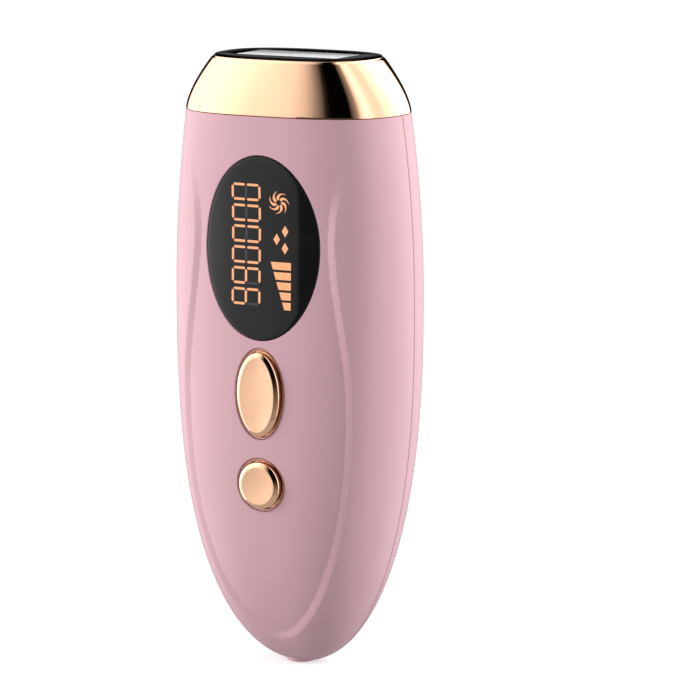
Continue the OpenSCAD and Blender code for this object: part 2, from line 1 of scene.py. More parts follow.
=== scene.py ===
import json
import math

import bmesh
import bpy
import numpy as np
from mathutils import Matrix, Vector


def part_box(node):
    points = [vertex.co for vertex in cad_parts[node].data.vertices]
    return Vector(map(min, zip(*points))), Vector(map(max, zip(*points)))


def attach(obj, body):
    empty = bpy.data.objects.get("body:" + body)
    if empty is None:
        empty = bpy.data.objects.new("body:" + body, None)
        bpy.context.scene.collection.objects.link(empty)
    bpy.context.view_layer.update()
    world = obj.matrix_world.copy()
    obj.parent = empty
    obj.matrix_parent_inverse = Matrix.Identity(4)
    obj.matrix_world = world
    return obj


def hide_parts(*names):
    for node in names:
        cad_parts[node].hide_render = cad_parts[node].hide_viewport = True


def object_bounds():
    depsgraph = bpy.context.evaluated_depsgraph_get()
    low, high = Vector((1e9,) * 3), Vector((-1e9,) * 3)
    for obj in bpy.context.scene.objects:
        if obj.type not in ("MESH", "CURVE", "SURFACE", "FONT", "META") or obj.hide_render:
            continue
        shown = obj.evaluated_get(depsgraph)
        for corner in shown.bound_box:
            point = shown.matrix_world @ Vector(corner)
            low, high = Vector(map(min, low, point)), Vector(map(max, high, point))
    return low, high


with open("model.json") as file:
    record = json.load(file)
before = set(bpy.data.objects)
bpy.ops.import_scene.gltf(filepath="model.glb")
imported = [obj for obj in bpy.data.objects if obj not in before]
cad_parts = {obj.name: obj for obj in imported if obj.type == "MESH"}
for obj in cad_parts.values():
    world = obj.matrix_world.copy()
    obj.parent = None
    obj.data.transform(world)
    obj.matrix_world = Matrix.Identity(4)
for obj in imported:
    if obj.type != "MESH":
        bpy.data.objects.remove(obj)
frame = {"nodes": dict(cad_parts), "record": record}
cad_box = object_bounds()
nodes = frame["nodes"]

MM = 0.001

# ------------------------------------------------------------------ dimensions, mm

BODY_HALF_W = 35.0
WIDE_Z = 102.0
NECK_Z = 150.5
FRONT_D = 22.7
FRONT_Z = 69.0
REAR_D = 18.5
SQUARENESS = 2.6
WALL = 2.0
SPLIT_Y = 1.2
TIP_Z = -0.3
TAIL_FLOOR = 4.2

RIM_W = 23.5
RIM_FRONT = 16.1
RIM_REAR = 14.3
COLLAR_WALL = 1.6

DISPLAY_Z = 115.8
DISPLAY_RX = 17.4
DISPLAY_RZ = 24.5
FLASH_Z = 76.9
FLASH_RX = 6.6
FLASH_RZ = 11.3
LEVEL_Z = 52.3
LEVEL_R = 6.3
RING_W = 0.95
RING_GAP = 0.25

INLET_HOLE_R = 3.85
FAN_Z = 112.0
FAN_R = 13.3
# Distance from the middle, height, and depth at which the head seats, for each pair of screws
CASE_SCREWS = [(13.0, 22.0, 5.0), (21.0, 134.0, 9.0)]

# Recessed front panel with a sloped border
PANEL_DEPTH = 0.8
BORDER_W = 2.1
PANEL_HALF_W = 25.2
PANEL_WIDE_Z = 75.0
PANEL_FOOT_Z = 9.0


# ------------------------------------------------------------------ body form

def swell(z, z_full, power, root):
    share = np.clip((z_full - z) / (z_full - TIP_Z), 0.0, 1.0)
    return np.power(1.0 - np.power(share, power), 1.0 / root)


def narrow(z, z_full, loss, power):
    share = np.clip((z - z_full) / (NECK_Z - z_full), 0.0, None)
    return 1.0 - loss * np.power(share, power)


def half_width(z):
    z = np.asarray(z, float)
    return BODY_HALF_W * np.where(z < WIDE_Z, swell(z, WIDE_Z, 2.5, 2.1), narrow(z, WIDE_Z, 0.1, 2.0))


def front_depth(z):
    z = np.asarray(z, float)
    return FRONT_D * np.where(z < FRONT_Z, swell(z, FRONT_Z, 2.75, 1.9), narrow(z, FRONT_Z, 0.115, 1.4))


def rear_depth(z):
    z = np.asarray(z, float)
    return REAR_D * np.where(z < WIDE_Z, swell(z, WIDE_Z, 1.75, 2.1), narrow(z, WIDE_Z, 0.066, 2.1))


def depth_of(side, z):
    return front_depth(z) if side < 0 else rear_depth(z)


def crown(x, z):
    share = np.clip(np.abs(x) / half_width(z), 0.0, 1.0)
    return np.power(1.0 - np.power(share, SQUARENESS), 1.0 / SQUARENESS)


def panel_distance(x, z):
    """Distance outside the panel's outline; negative inside it."""
    x = np.abs(np.asarray(x, float))
    z = np.asarray(z, float)
    drop = np.clip((PANEL_WIDE_Z - z) / (PANEL_WIDE_Z - PANEL_FOOT_Z), 0.0, None)
    across = x / PANEL_HALF_W
    value = np.power(across, 1.7) + np.power(drop, 2.2) - 1.0
    slope_x = 1.7 * np.power(np.maximum(across, 1e-4), 0.7) / PANEL_HALF_W
    slope_z = 2.2 * np.power(drop, 1.2) / (PANEL_WIDE_Z - PANEL_FOOT_Z)
    lower = value / np.maximum(np.hypot(slope_x, slope_z), 1e-3)
    waist = np.where(
        z < 120.0,
        22.9 + 2.3 * np.cos(np.pi * np.clip((z - PANEL_WIDE_Z) / 45.0, 0.0, 1.0)),
        20.6 + 3.0 * np.power(np.clip((z - 120.0) / 18.0, 0.0, None), 1.8),
    )
    return np.where(z < PANEL_WIDE_Z, lower, x - waist)


def panel_recess(x, z):
    """How far the front panel lies below the body's skin."""
    ramp = np.clip(0.5 - panel_distance(x, z) / BORDER_W, 0.0, 1.0)
    fade = np.clip((141.0 - np.asarray(z, float)) / 22.0, 0.0, 1.0)
    return PANEL_DEPTH * ramp * fade * fade * (3.0 - 2.0 * fade)


def skin_y(side, x, z):
    y = SPLIT_Y + side * depth_of(side, z) * crown(x, z)
    return y + panel_recess(x, z) if side < 0 else y


def powered(value, power=SQUARENESS):
    return np.sign(value) * np.power(np.abs(value), 2.0 / power)


def slope(f, x, z, step=0.02):
    return ((f(x + step, z) - f(x - step, z)) / (2 * step),
            (f(x, z + step) - f(x, z - step)) / (2 * step))


def skin_normals(side, points):
    """Outward normals of the body's skin at points that lie on it."""
    x, y, z = points.T
    a, b = half_width(z), depth_of(side, z)
    step = 0.05
    da = (half_width(z + step) - half_width(z - step)) / (2 * step)
    db = (depth_of(side, z + step) - depth_of(side, z - step)) / (2 * step)
    u = np.clip(np.abs(x) / a, 0.0, 1.0)
    v = np.power(np.clip(1.0 - np.power(u, SQUARENESS), 0.0, 1.0), 1.0 / SQUARENESS)
    k = SQUARENESS - 1.0
    gx = np.sign(x) * np.power(u, k) / a
    gy = side * np.power(v, k) / b
    gz = -np.power(u, SQUARENESS) * da / a - np.power(v, SQUARENESS) * db / b
    if side < 0:
        rx, rz = slope(panel_recess, x, z)
        gx = gx + np.abs(gy) * rx
        gz = gz + np.abs(gy) * rz
    n = np.stack([gx, gy, gz], -1)
    return n / np.linalg.norm(n, axis=1, keepdims=True)


# ------------------------------------------------------------------ mesh tools

def make_object(name, points, faces, materials, face_material=None, smooth=True):
    """points in mm; faces as index lists."""
    mesh = bpy.data.meshes.new(name)
    mesh.from_pydata([tuple(p) for p in np.asarray(points, float) * MM], [], faces)
    mesh.validate()
    for m in materials:
        mesh.materials.append(m)
    if face_material is not None:
        mesh.polygons.foreach_set("material_index", np.asarray(face_material, np.int32))
    mesh.polygons.foreach_set("use_smooth", np.full(len(mesh.polygons), smooth))
    mesh.update()
    obj = bpy.data.objects.new(name, mesh)
    bpy.context.scene.collection.objects.link(obj)
    return obj


def grid_faces(rows, cols, closed=False, base=0, flip=False):
    """Quads of a grid of rows x cols points."""
    faces = []
    last = cols if closed else cols - 1
    for i in range(rows - 1):
        for j in range(last):
            a = base + i * cols + j
            b = base + i * cols + (j + 1) % cols
            quad = [a, b, b + cols, a + cols]
            faces.append(quad[::-1] if flip else quad)
    return faces


def face_outward(obj):
    shape = bmesh.new()
    shape.from_mesh(obj.data)
    bmesh.ops.recalc_face_normals(shape, faces=shape.faces)
    shape.to_mesh(obj.data)
    shape.free()
    obj.data.update()


def apply_modifiers(obj):
    graph = bpy.context.evaluated_depsgraph_get()
    baked = bpy.data.meshes.new_from_object(obj.evaluated_get(graph))
    old = obj.data
    obj.modifiers.clear()
    obj.data = baked
    bpy.data.meshes.remove(old)


def cut(obj, cutters):
    """Takes the cutters out of obj, in one boolean for each."""
    face_outward(obj)
    for cutter in cutters:
        face_outward(cutter)
        modifier = obj.modifiers.new("cut", "BOOLEAN")
        modifier.operation = "DIFFERENCE"
        modifier.solver = "EXACT"
        modifier.object = cutter
    apply_modifiers(obj)
    for cutter in cutters:
        mesh = cutter.data
        bpy.data.objects.remove(cutter)
        bpy.data.meshes.remove(mesh)


def join_parts(obj, others):
    """Joins other objects' meshes into obj."""
    with bpy.context.temp_override(active_object=obj, selected_editable_objects=[obj, *others]):
        bpy.ops.object.join()


def sharpen(obj, degrees=32.0):
    """Marks edges that turn more than an angle, so that smooth shading stops there."""
    obj.data.set_sharp_from_angle(angle=math.radians(degrees))


def outline_ellipse(rx, rz, cx=0.0, cz=0.0, steps=96):
    t = np.linspace(0.0, 2 * np.pi, steps, endpoint=False)

    def at(offset):
        return np.stack([cx + (rx + offset) * np.cos(t), cz + (rz + offset) * np.sin(t)], -1)
    return at


def outline_slot(cx, cz, length, width, along_x, steps=20):
    reach = (length - width) / 2
    t = np.linspace(-np.pi / 2, np.pi / 2, steps)

    def at(offset):
        r = width / 2 + offset
        right = np.stack([reach + r * np.cos(t), r * np.sin(t)], -1)
        loop = np.concatenate([right, -right])
        if not along_x:
            loop = np.stack([-loop[:, 1], loop[:, 0]], -1)
        return loop + [cx, cz]
    return at


def skin_cutter(side, outline, bevel, end_y, materials):
    """Prism along Y whose mouth is bevelled where it meets the skin."""
    mouth = outline(bevel + 0.6)
    rings = [np.stack([mouth[:, 0], np.full(len(mouth), side * 30.0), mouth[:, 1]], -1)]
    for offset, depth in ((bevel + 0.6, -0.6), (bevel, 0.0), (0.0, bevel)):
        loop = outline(offset)
        y = skin_y(side, loop[:, 0], loop[:, 1]) - side * depth
        rings.append(np.stack([loop[:, 0], y, loop[:, 1]], -1))
    loop = outline(0.0)
    rings.append(np.stack([loop[:, 0], np.full(len(loop), end_y), loop[:, 1]], -1))
    count = len(loop)
    points = np.concatenate(rings)
    faces = grid_faces(len(rings), count, closed=True, flip=side > 0)
    start, end = list(range(count)), list(range(4 * count, 5 * count))
    faces += [start, end[::-1]] if side > 0 else [start[::-1], end]
    return make_object("cutter", points, faces, materials, np.ones(len(faces)))


def rod(axis, centre, low, high, radius, materials, steps=48, name="rod"):
    """Cylinder along an axis (0, 1 or 2); centre is its two other coordinates in X, Y, Z order."""
    t = np.linspace(0.0, 2 * np.pi, steps, endpoint=False)
    others = [k for k in range(3) if k != axis]
    points = np.zeros((2 * steps, 3))
    for k, level in enumerate((low, high)):
        block = points[k * steps:(k + 1) * steps]
        block[:, axis] = level
        block[:, others[0]] = centre[0] + radius * np.cos(t)
        block[:, others[1]] = centre[1] + radius * np.sin(t)
    flip = axis == 1
    faces = grid_faces(2, steps, closed=True, flip=flip)
    low_cap, high_cap = list(range(steps)), list(range(steps, 2 * steps))
    faces += [low_cap, high_cap[::-1]] if flip else [low_cap[::-1], high_cap]
    return make_object(name, points, faces, materials, np.ones(len(faces)))


# ------------------------------------------------------------------ materials

def node_material(name):
    material = bpy.data.materials.new(name)
    material.use_nodes = True
    tree = material.node_tree
    shader = tree.nodes["Principled BSDF"]
    coords = tree.nodes.new("ShaderNodeTexCoord")
    return material, tree, shader, coords.outputs["Object"]


def noise(tree, coords, scale, detail=3.0, roughness=0.6):
    texture = tree.nodes.new("ShaderNodeTexNoise")
    texture.inputs["Scale"].default_value = scale
    texture.inputs["Detail"].default_value = detail
    texture.inputs["Roughness"].default_value = roughness
    tree.links.new(coords, texture.inputs["Vector"])
    return texture.outputs["Fac"]


def remap(tree, value, low, high, source=(0.3, 0.7)):
    node = tree.nodes.new("ShaderNodeMapRange")
    node.inputs["From Min"].default_value = source[0]
    node.inputs["From Max"].default_value = source[1]
    node.inputs["To Min"].default_value = low
    node.inputs["To Max"].default_value = high
    tree.links.new(value, node.inputs["Value"])
    return node.outputs["Result"]


def tint(tree, value, low, high):
    node = tree.nodes.new("ShaderNodeMix")
    node.data_type = "RGBA"
    node.inputs["A"].default_value = (*low, 1.0)
    node.inputs["B"].default_value = (*high, 1.0)
    tree.links.new(value, node.inputs["Factor"])
    return node.outputs["Result"]


def bump(tree, shader, height, distance, strength):
    node = tree.nodes.new("ShaderNodeBump")
    node.inputs["Distance"].default_value = distance
    node.inputs["Strength"].default_value = strength
    tree.links.new(height, node.inputs["Height"])
    tree.links.new(node.outputs["Normal"], shader.inputs["Normal"])


def plastic(name, colour, roughness, grain_scale=9000.0, grain=0.00001, mottle=0.03, coat=0.0, ior=1.45):
    """Moulded plastic with a fine grain, faint mottling and slightly uneven gloss."""
    material, tree, shader, coords = node_material(name)
    cloud = noise(tree, coords, 60.0, 4.0)
    darker = [c * (1.0 - mottle) for c in colour]
    lighter = [min(1.0, c * (1.0 + mottle)) for c in colour]
    tree.links.new(tint(tree, cloud, darker, lighter), shader.inputs["Base Color"])
    gloss = noise(tree, coords, 380.0, 5.0)
    tree.links.new(remap(tree, gloss, roughness * 0.9, roughness * 1.1), shader.inputs["Roughness"])
    bump(tree, shader, noise(tree, coords, grain_scale, 2.0), grain, 0.6)
    shader.inputs["IOR"].default_value = ior
    shader.inputs["Coat Weight"].default_value = coat
    shader.inputs["Coat Roughness"].default_value = 0.12
    return material


def plated(name, colour, roughness, scuff=0.04):
    """Vacuum-plated mirror with faint haze and hairline scuffs."""
    material, tree, shader, coords = node_material(name)
    shader.inputs["Metallic"].default_value = 1.0
    haze = noise(tree, coords, 140.0, 6.0)
    warm = [min(1.0, c * 1.02) for c in colour]
    cool = [c * 0.97 for c in colour]
    tree.links.new(tint(tree, haze, cool, warm), shader.inputs["Base Color"])
    fine = noise(tree, coords, 900.0, 8.0, 0.7)
    tree.links.new(remap(tree, fine, roughness, roughness + scuff), shader.inputs["Roughness"])
    bump(tree, shader, noise(tree, coords, 220.0, 2.0), 0.000002, 0.25)
    return material


def brushed(name, colour, roughness, axis):
    """Metal with machining or brushing lines across an axis."""
    material, tree, shader, coords = node_material(name)
    shader.inputs["Metallic"].default_value = 1.0
    stretch = tree.nodes.new("ShaderNodeMapping")
    scale = [40.0, 40.0, 40.0]
    scale[axis] = 2400.0
    stretch.inputs["Scale"].default_value = scale
    tree.links.new(coords, stretch.inputs["Vector"])
    lines = noise(tree, stretch.outputs["Vector"], 1.0, 4.0)
    darker = [c * 0.86 for c in colour]
    tree.links.new(tint(tree, lines, darker, colour), shader.inputs["Base Color"])
    tree.links.new(remap(tree, lines, roughness * 0.8, roughness * 1.25), shader.inputs["Roughness"])
    bump(tree, shader, lines, 0.00001, 0.5)
    return material


def clear(name, colour, roughness, ior, weight=1.0):
    """Clear glass or quartz with a trace of surface haze."""
    material, tree, shader, coords = node_material(name)
    shader.inputs["Base Color"].default_value = (*colour, 1.0)
    shader.inputs["Transmission Weight"].default_value = weight
    shader.inputs["IOR"].default_value = ior
    smear = noise(tree, coords, 300.0, 5.0)
    tree.links.new(remap(tree, smear, roughness, roughness + 0.05), shader.inputs["Roughness"])
    bump(tree, shader, noise(tree, coords, 90.0), 0.000003, 0.2)
    return material


def circuit_board(name):
    """Green solder mask with routed tracks and vias."""
    material, tree, shader, coords = node_material(name)
    tracks = tree.nodes.new("ShaderNodeTexBrick")
    tracks.offset = 0.4
    tracks.inputs["Scale"].default_value = 260.0
    tracks.inputs["Mortar Size"].default_value = 0.03
    tracks.inputs["Color1"].default_value = (0.012, 0.11, 0.045, 1.0)
    tracks.inputs["Color2"].default_value = (0.016, 0.15, 0.06, 1.0)
    tracks.inputs["Mortar"].default_value = (0.03, 0.26, 0.1, 1.0)
    turn = tree.nodes.new("ShaderNodeMapping")
    turn.inputs["Rotation"].default_value = (math.radians(90.0), 0.0, 0.0)
    tree.links.new(coords, turn.inputs["Vector"])
    tree.links.new(turn.outputs["Vector"], tracks.inputs["Vector"])
    tree.links.new(tracks.outputs["Color"], shader.inputs["Base Color"])
    bump(tree, shader, tracks.outputs["Fac"], 0.00003, 0.7)
    gloss = noise(tree, coords, 500.0)
    tree.links.new(remap(tree, gloss, 0.25, 0.4), shader.inputs["Roughness"])
    return material


def wound(name, colour, turns_per_m):
    """Wire or tape wound in even turns about a line along Z."""
    material, tree, shader, coords = node_material(name)
    wave = tree.nodes.new("ShaderNodeTexWave")
    wave.bands_direction = "Z"
    wave.inputs["Scale"].default_value = turns_per_m
    wave.inputs["Distortion"].default_value = 0.4
    tree.links.new(coords, wave.inputs["Vector"])
    darker = [c * 0.55 for c in colour]
    tree.links.new(tint(tree, wave.outputs["Fac"], darker, colour), shader.inputs["Base Color"])
    bump(tree, shader, wave.outputs["Fac"], 0.0001, 0.8)
    shader.inputs["Roughness"].default_value = 0.35
    return material


def lit(name, colour, strength):
    """Lit display segment, a little uneven across its face."""
    material, tree, shader, coords = node_material(name)
    cloud = noise(tree, coords, 900.0, 3.0)
    low = [c * 0.92 for c in colour]
    tree.links.new(tint(tree, cloud, low, colour), shader.inputs["Emission Color"])
    shader.inputs["Emission Strength"].default_value = strength
    shader.inputs["Base Color"].default_value = (*[c * 0.1 for c in colour], 1.0)
    shader.inputs["Roughness"].default_value = 0.4
    return material


PINK = (0.525, 0.312, 0.352)
GOLD = (1.0, 0.60, 0.385)

looks = {
    "shell_pink": plastic("pink_satin", PINK, 0.42, 4200.0, 0.00002, 0.014),
    "gold_mirror": plated("rose_gold_mirror", GOLD, 0.035),
    # The trim rings are satin rose-gold plating, darkened to a rose-brown that is partly painted shade of the
    # groove they sit in and painted reflection of the gold caps.
    "gold_ring": plated("rose_gold_satin_with_painted_shade", (0.50, 0.30, 0.265), 0.26, 0.1),
    "black_gloss": plated("black_gloss", (0.01, 0.01, 0.01), 0.1, 0.04),
    "black_matt": plastic("black_textured", (0.02, 0.02, 0.022), 0.55, 2600.0, 0.00004, 0.15),
    "lens_smoke": plastic("smoked_lens", (0.006, 0.006, 0.007), 0.05, 300.0, 0.000001, 0.05, ior=1.36),
    "filter_glass": clear("filter_glass", (0.95, 0.96, 0.98), 0.06, 1.5, 0.2),
    "lamp_glass": clear("quartz", (1.0, 1.0, 1.0), 0.0, 1.46),
    "aluminium": brushed("bright_aluminium", (0.92, 0.92, 0.93), 0.16, 1),
    "steel": brushed("zinc_plated_steel", (0.55, 0.55, 0.57), 0.3, 2),
    "brass": brushed("turned_brass", (0.78, 0.55, 0.24), 0.25, 1),
    "silicone": plastic("white_silicone", (0.78, 0.78, 0.75), 0.6, 1500.0, 0.00003, 0.05),
    "circuit": circuit_board("solder_mask"),
    "component": plastic("epoxy_body", (0.03, 0.03, 0.032), 0.5, 2200.0, 0.00005, 0.15),
    "capacitor": plastic("shrink_sleeve", (0.03, 0.05, 0.16), 0.3, 700.0, 0.00002, 0.1, 0.4),
    "ferrite": plastic("ferrite", (0.05, 0.05, 0.053), 0.45, 1800.0, 0.00005, 0.2),
    "copper": wound("copper_winding", (0.72, 0.30, 0.13), 1300.0),
    "tape_red": wound("wound_tape", (0.45, 0.05, 0.03), 500.0),
    "lead_red": plastic("red_insulation", (0.5, 0.015, 0.015), 0.45, 900.0, 0.00003, 0.06),
    "lead_black": plastic("black_insulation", (0.015, 0.015, 0.015), 0.45, 900.0, 0.00003, 0.1),
    "connector": plastic("ivory_nylon", (0.72, 0.68, 0.56), 0.45, 1200.0, 0.00003, 0.05),
}
LIT = lit("lit_segment", (0.96, 0.42, 0.2), 1.0)
UNLIT = plastic("unlit_segment", (0.03, 0.03, 0.045), 0.3, 500.0, 0.000002, 0.05)

# The black rim keeps its depth at low angles instead of mirroring the room
gloss_shader = looks["black_gloss"].node_tree.nodes["Principled BSDF"]
gloss_shader.inputs["Specular Tint"].default_value = (0.0, 0.0, 0.0, 1.0)

slot_of = {s["node"]: s["material_slot"] for s in frame["record"]["subparts"]}
for name, obj in nodes.items():
    obj.data.materials.clear()
    obj.data.materials.append(looks[slot_of[name]])


def finish_piece(obj, name, body, replaces=()):
    obj.name = name
    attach(obj, body)
    if replaces:
        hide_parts(*replaces)
    return obj


# ------------------------------------------------------------------ shells

def shell_rows():
    """Heights of the shell's rings: dense at the rounded tail, even above it."""
    base = TIP_Z + 0.25
    tail = base + (WIDE_Z - base) * (1 - np.cos(np.linspace(0.0, np.pi / 2, 121)))
    upper = np.linspace(WIDE_Z, NECK_Z - 0.2, 56)[1:]
    return np.concatenate([tail, upper, [NECK_Z - 0.05, NECK_Z]])


def half_shell(side, name, materials):
    """Closed half of the body: an outer skin with eased edges and a parallel lining."""
    rows = shell_rows()
    columns = 250 if side < 0 else 150
    arc = np.pi * np.linspace(0.0, 1.0, columns + 1)
    edge = np.array([0.0, 0.0, *arc[1:-1], np.pi, np.pi])
    inset_y = np.zeros(len(edge))
    inset_y[[0, -1]] = 0.07
    inset_y[[1, -2]] = 0.26
    inset_in = np.zeros(len(edge))
    inset_in[[0, -1]] = 0.24
    inset_in[[1, -2]] = 0.04
    left = 1 - (rows - TIP_Z) / (NECK_Z - TIP_Z)
    top_inset = np.zeros(len(rows))
    top_inset[-1] = 0.14
    top_inset[-2] = 0.03

    def ring_set(z_shape, z_place, shrink, lining):
        a = (half_width(z_shape) - shrink)[:, None]
        b = (depth_of(side, z_shape) - shrink)[:, None]
        x = a * powered(np.cos(edge))[None, :]
        y = b * powered(np.sin(edge))[None, :]
        if not lining:
            x = x * (1 - inset_in[None, :] / a)
        y = np.maximum(y, inset_y[None, :])
        z = np.broadcast_to(z_place[:, None], x.shape)
        y = SPLIT_Y + side * y
        if side < 0 and not lining:
            y = np.minimum(y + panel_recess(x, z), SPLIT_Y - inset_y[None, :])
        return np.stack([x, y, z], -1).reshape(-1, 3)

    outer = ring_set(rows, rows, top_inset, False)
    inner_z = rows + TAIL_FLOOR * left
    inner = ring_set(inner_z - WALL * left, inner_z, np.full(len(rows), WALL), True)
    cols = len(edge)
    count = len(outer)
    last = (len(rows) - 1) * cols
    skin = grid_faces(len(rows), cols, flip=side > 0)
    lining = grid_faces(len(rows), cols, base=count, flip=side < 0)
    marks = []
    for k in range(len(skin)):
        row, col = divmod(k, cols - 1)
        plain = 2 <= col < cols - 3 and row < len(rows) - 3
        marks.append(0 if plain else 1)
    faces = skin + lining
    for i in range(len(rows) - 1):
        for j in (0, cols - 1):
            a, b = i * cols + j, (i + 1) * cols + j
            quad = [a, b, count + b, count + a]
            faces.append(quad if (j == 0) == (side < 0) else quad[::-1])
    for j in range(cols - 1):
        quad = [last + j, last + j + 1, count + last + j + 1, count + last + j]
        faces.append(quad if side < 0 else quad[::-1])
    floor = [list(range(cols))[::-1], [count + j for j in range(cols)],
             [0, count, count + cols - 1, cols - 1]]
    faces += floor if side < 0 else [f[::-1] for f in floor]
    marks += [1] * (len(faces) - len(marks))
    return make_object(name, np.concatenate([outer, inner]), faces, materials, marks)


def use_skin_normals(obj, side):
    """Shades the untouched skin by the body's own formula, so that cuts leave no ripple."""
    mesh = obj.data
    loops = len(mesh.loops)
    corner = np.empty(loops * 3)
    mesh.corner_normals.foreach_get("vector", corner)
    corner = corner.reshape(-1, 3)
    vertex = np.empty(loops, np.int32)
    mesh.loops.foreach_get("vertex_index", vertex)
    points = np.empty(len(mesh.vertices) * 3)
    mesh.vertices.foreach_get("co", points)
    points = points.reshape(-1, 3)[vertex] / MM
    totals = np.empty(len(mesh.polygons), np.int32)
    mesh.polygons.foreach_get("loop_total", totals)
    marks = np.empty(len(mesh.polygons), np.int32)
    mesh.polygons.foreach_get("material_index", marks)
    on_skin = np.repeat(marks == 0, totals)
    exact = skin_normals(side, points[on_skin])
    agree = (exact * corner[on_skin]).sum(1) > 0.6
    chosen = corner[on_skin]
    chosen[agree] = exact[agree]
    corner[on_skin] = chosen
    mesh.normals_split_custom_set([tuple(n) for n in corner])
    mesh.polygons.foreach_set("material_index", np.zeros(len(mesh.polygons), np.int32))
    mesh.update()


def boss(x, z, y0, y1, radius, materials):
    low, high = sorted((y0, y1))
    return rod(1, (x, z), low, high, radius, materials, 32, "boss")


def build_front_shell():
    paint = [looks["shell_pink"], looks["shell_pink"]]
    shell = half_shell(-1, "front_shell_skin", paint)
    ring = RING_W + 0.05
    display = outline_ellipse(DISPLAY_RX + 0.12, DISPLAY_RZ + 0.12, 0, DISPLAY_Z, 160)
    cutters = [
        skin_cutter(-1, display, 0.18, -14, paint),
        skin_cutter(-1, outline_ellipse(FLASH_RX + ring, FLASH_RZ + ring, 0, FLASH_Z, 128), 0.25, -14, paint),
        skin_cutter(-1, outline_ellipse(LEVEL_R + ring, LEVEL_R + ring, 0, LEVEL_Z, 112), 0.25, -14, paint),
        rod(2, (0, 0), -5, 10, INLET_HOLE_R, paint, 72),
    ]
    cut(shell, cutters)
    sharpen(shell)
    use_skin_normals(shell, -1)
    parts = []
    for s in (-1, 1):
        for x, z, _ in CASE_SCREWS:
            start = SPLIT_Y - float(front_depth(z) * crown(x + 3.0, z)) + 0.6
            parts.append(boss(s * x, z, start, SPLIT_Y - 0.05, 3.0, paint))
    join_parts(shell, parts)
    return finish_piece(shell, "front_shell_skin", "housing", ["front_shell"])


def build_rear_shell():
    paint = [looks["shell_pink"], looks["shell_pink"]]
    shell = half_shell(1, "rear_shell_skin", paint)
    cutters = [rod(2, (0, 0), -5, 10, INLET_HOLE_R, paint, 72)]
    for k in range(-3, 4):
        rise = 3.6 * k
        chord = 2 * math.sqrt(FAN_R ** 2 - rise ** 2)
        cutters.append(skin_cutter(1, outline_slot(0, FAN_Z + rise, chord, 1.8, True), 0.25, 12, paint))
    for k in range(-4, 5):
        vent = outline_slot(k * 3.8, 141, 9 - abs(k) * 0.6, 1.6, False)
        cutters.append(skin_cutter(1, vent, 0.25, 12, paint))
    for s in (-1, 1):
        for x, z, seat in CASE_SCREWS:
            cutters.append(skin_cutter(1, outline_ellipse(2.6, 2.6, s * x, z, 48), 0.3, seat, paint))
    cut(shell, cutters)
    sharpen(shell)
    use_skin_normals(shell, 1)
    return finish_piece(shell, "rear_shell_skin", "housing", ["rear_shell"])


build_front_shell()
build_rear_shell()


def build_screw_wells():
    """Tubes in the rear shell that the case screws sit in."""
    paint = [looks["shell_pink"]]
    tubes = []
    for s in (-1, 1):
        for x, z, seat in CASE_SCREWS:
            top = SPLIT_Y + float(rear_depth(z) * crown(x + 3.8, z)) - 0.6
            foot = SPLIT_Y + 0.05
            profile = [(3.8, foot), (3.8, top), (2.62, top), (2.62, seat), (1.4, seat), (1.4, foot)]
            tubes.append(turned_y("well", (s * x, z), profile, paint, 48))
    first = tubes[0]
    join_parts(first, tubes[1:])
    sharpen(first)
    return finish_piece(first, "case_screw_wells", "housing")


def turned_y(name, centre, profile, materials, steps):
    """Solid turned about a line along Y; profile is a closed loop of (radius, y) pairs."""
    t = np.linspace(0.0, 2 * np.pi, steps, endpoint=False)
    rings = [np.stack([centre[0] + r * np.cos(t), np.full(steps, y), centre[1] + r * np.sin(t)], -1)
             for r, y in profile]
    rings.append(rings[0])
    points = np.concatenate(rings)
    faces = grid_faces(len(rings), steps, closed=True)
    obj = make_object(name, points, faces, materials)
    weld(obj)
    return obj


def weld(obj, distance=1e-7):
    mesh = bmesh.new()
    mesh.from_mesh(obj.data)
    bmesh.ops.remove_doubles(mesh, verts=mesh.verts, dist=distance)
    bmesh.ops.recalc_face_normals(mesh, faces=mesh.faces)
    mesh.to_mesh(obj.data)
    mesh.free()
    obj.data.update()


build_screw_wells()


# ------------------------------------------------------------------ head

def collar_ring(height, inset, lift, steps):
    """One ring of the collar: height is its share of the way up."""
    t = np.linspace(0.0, 2 * np.pi, steps, endpoint=False)
    k = height ** 1.5
    a = half_width(NECK_Z) * (1 - k) + RIM_W * k - inset
    front = front_depth(NECK_Z) * (1 - k) + RIM_FRONT * k - inset
    rear = rear_depth(NECK_Z) * (1 - k) + RIM_REAR * k - inset
    b = np.where(np.sin(t) < 0, front, rear)
    base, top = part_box("head_collar")
    z = (base[2] * (1 - height) + top[2] * height) / MM + lift
    return np.stack([a * powered(np.cos(t)), SPLIT_Y + b * powered(np.sin(t)), np.full(steps, z)], -1)


def build_collar():
    steps = 320
    rings = [collar_ring(0.0, 0.18, 0.0, steps), collar_ring(0.004, 0.03, 0.0, steps)]
    rings += [collar_ring(h, 0.0, 0.0, steps) for h in np.linspace(0.015, 0.965, 56)]
    for angle in np.linspace(15.0, 90.0, 6):
        turn = math.radians(angle)
        drop = 0.35 * (1 - math.sin(turn))
        rings.append(collar_ring(1.0, 0.02 + 0.35 * (1 - math.cos(turn)), -drop, steps))
    rings.append(collar_ring(1.0, COLLAR_WALL, 0.0, steps))
    rings.append(collar_ring(0.0, COLLAR_WALL, 0.0, steps))
    rings.append(rings[0])
    obj = make_object("collar", np.concatenate(rings), grid_faces(len(rings), steps, closed=True),
                      [looks["gold_mirror"]])
    weld(obj)
    sharpen(obj, 40)
    return finish_piece(obj, "head_collar_plated", "housing", ["head_collar"])


build_collar()


def superellipse_ring(a, front, rear, z, steps):
    t = np.linspace(0.0, 2 * np.pi, steps, endpoint=False)
    b = np.where(np.sin(t) < 0, front, rear)
    return np.stack([a * powered(np.cos(t)), SPLIT_Y + b * powered(np.sin(t)), np.full(steps, z)], -1)


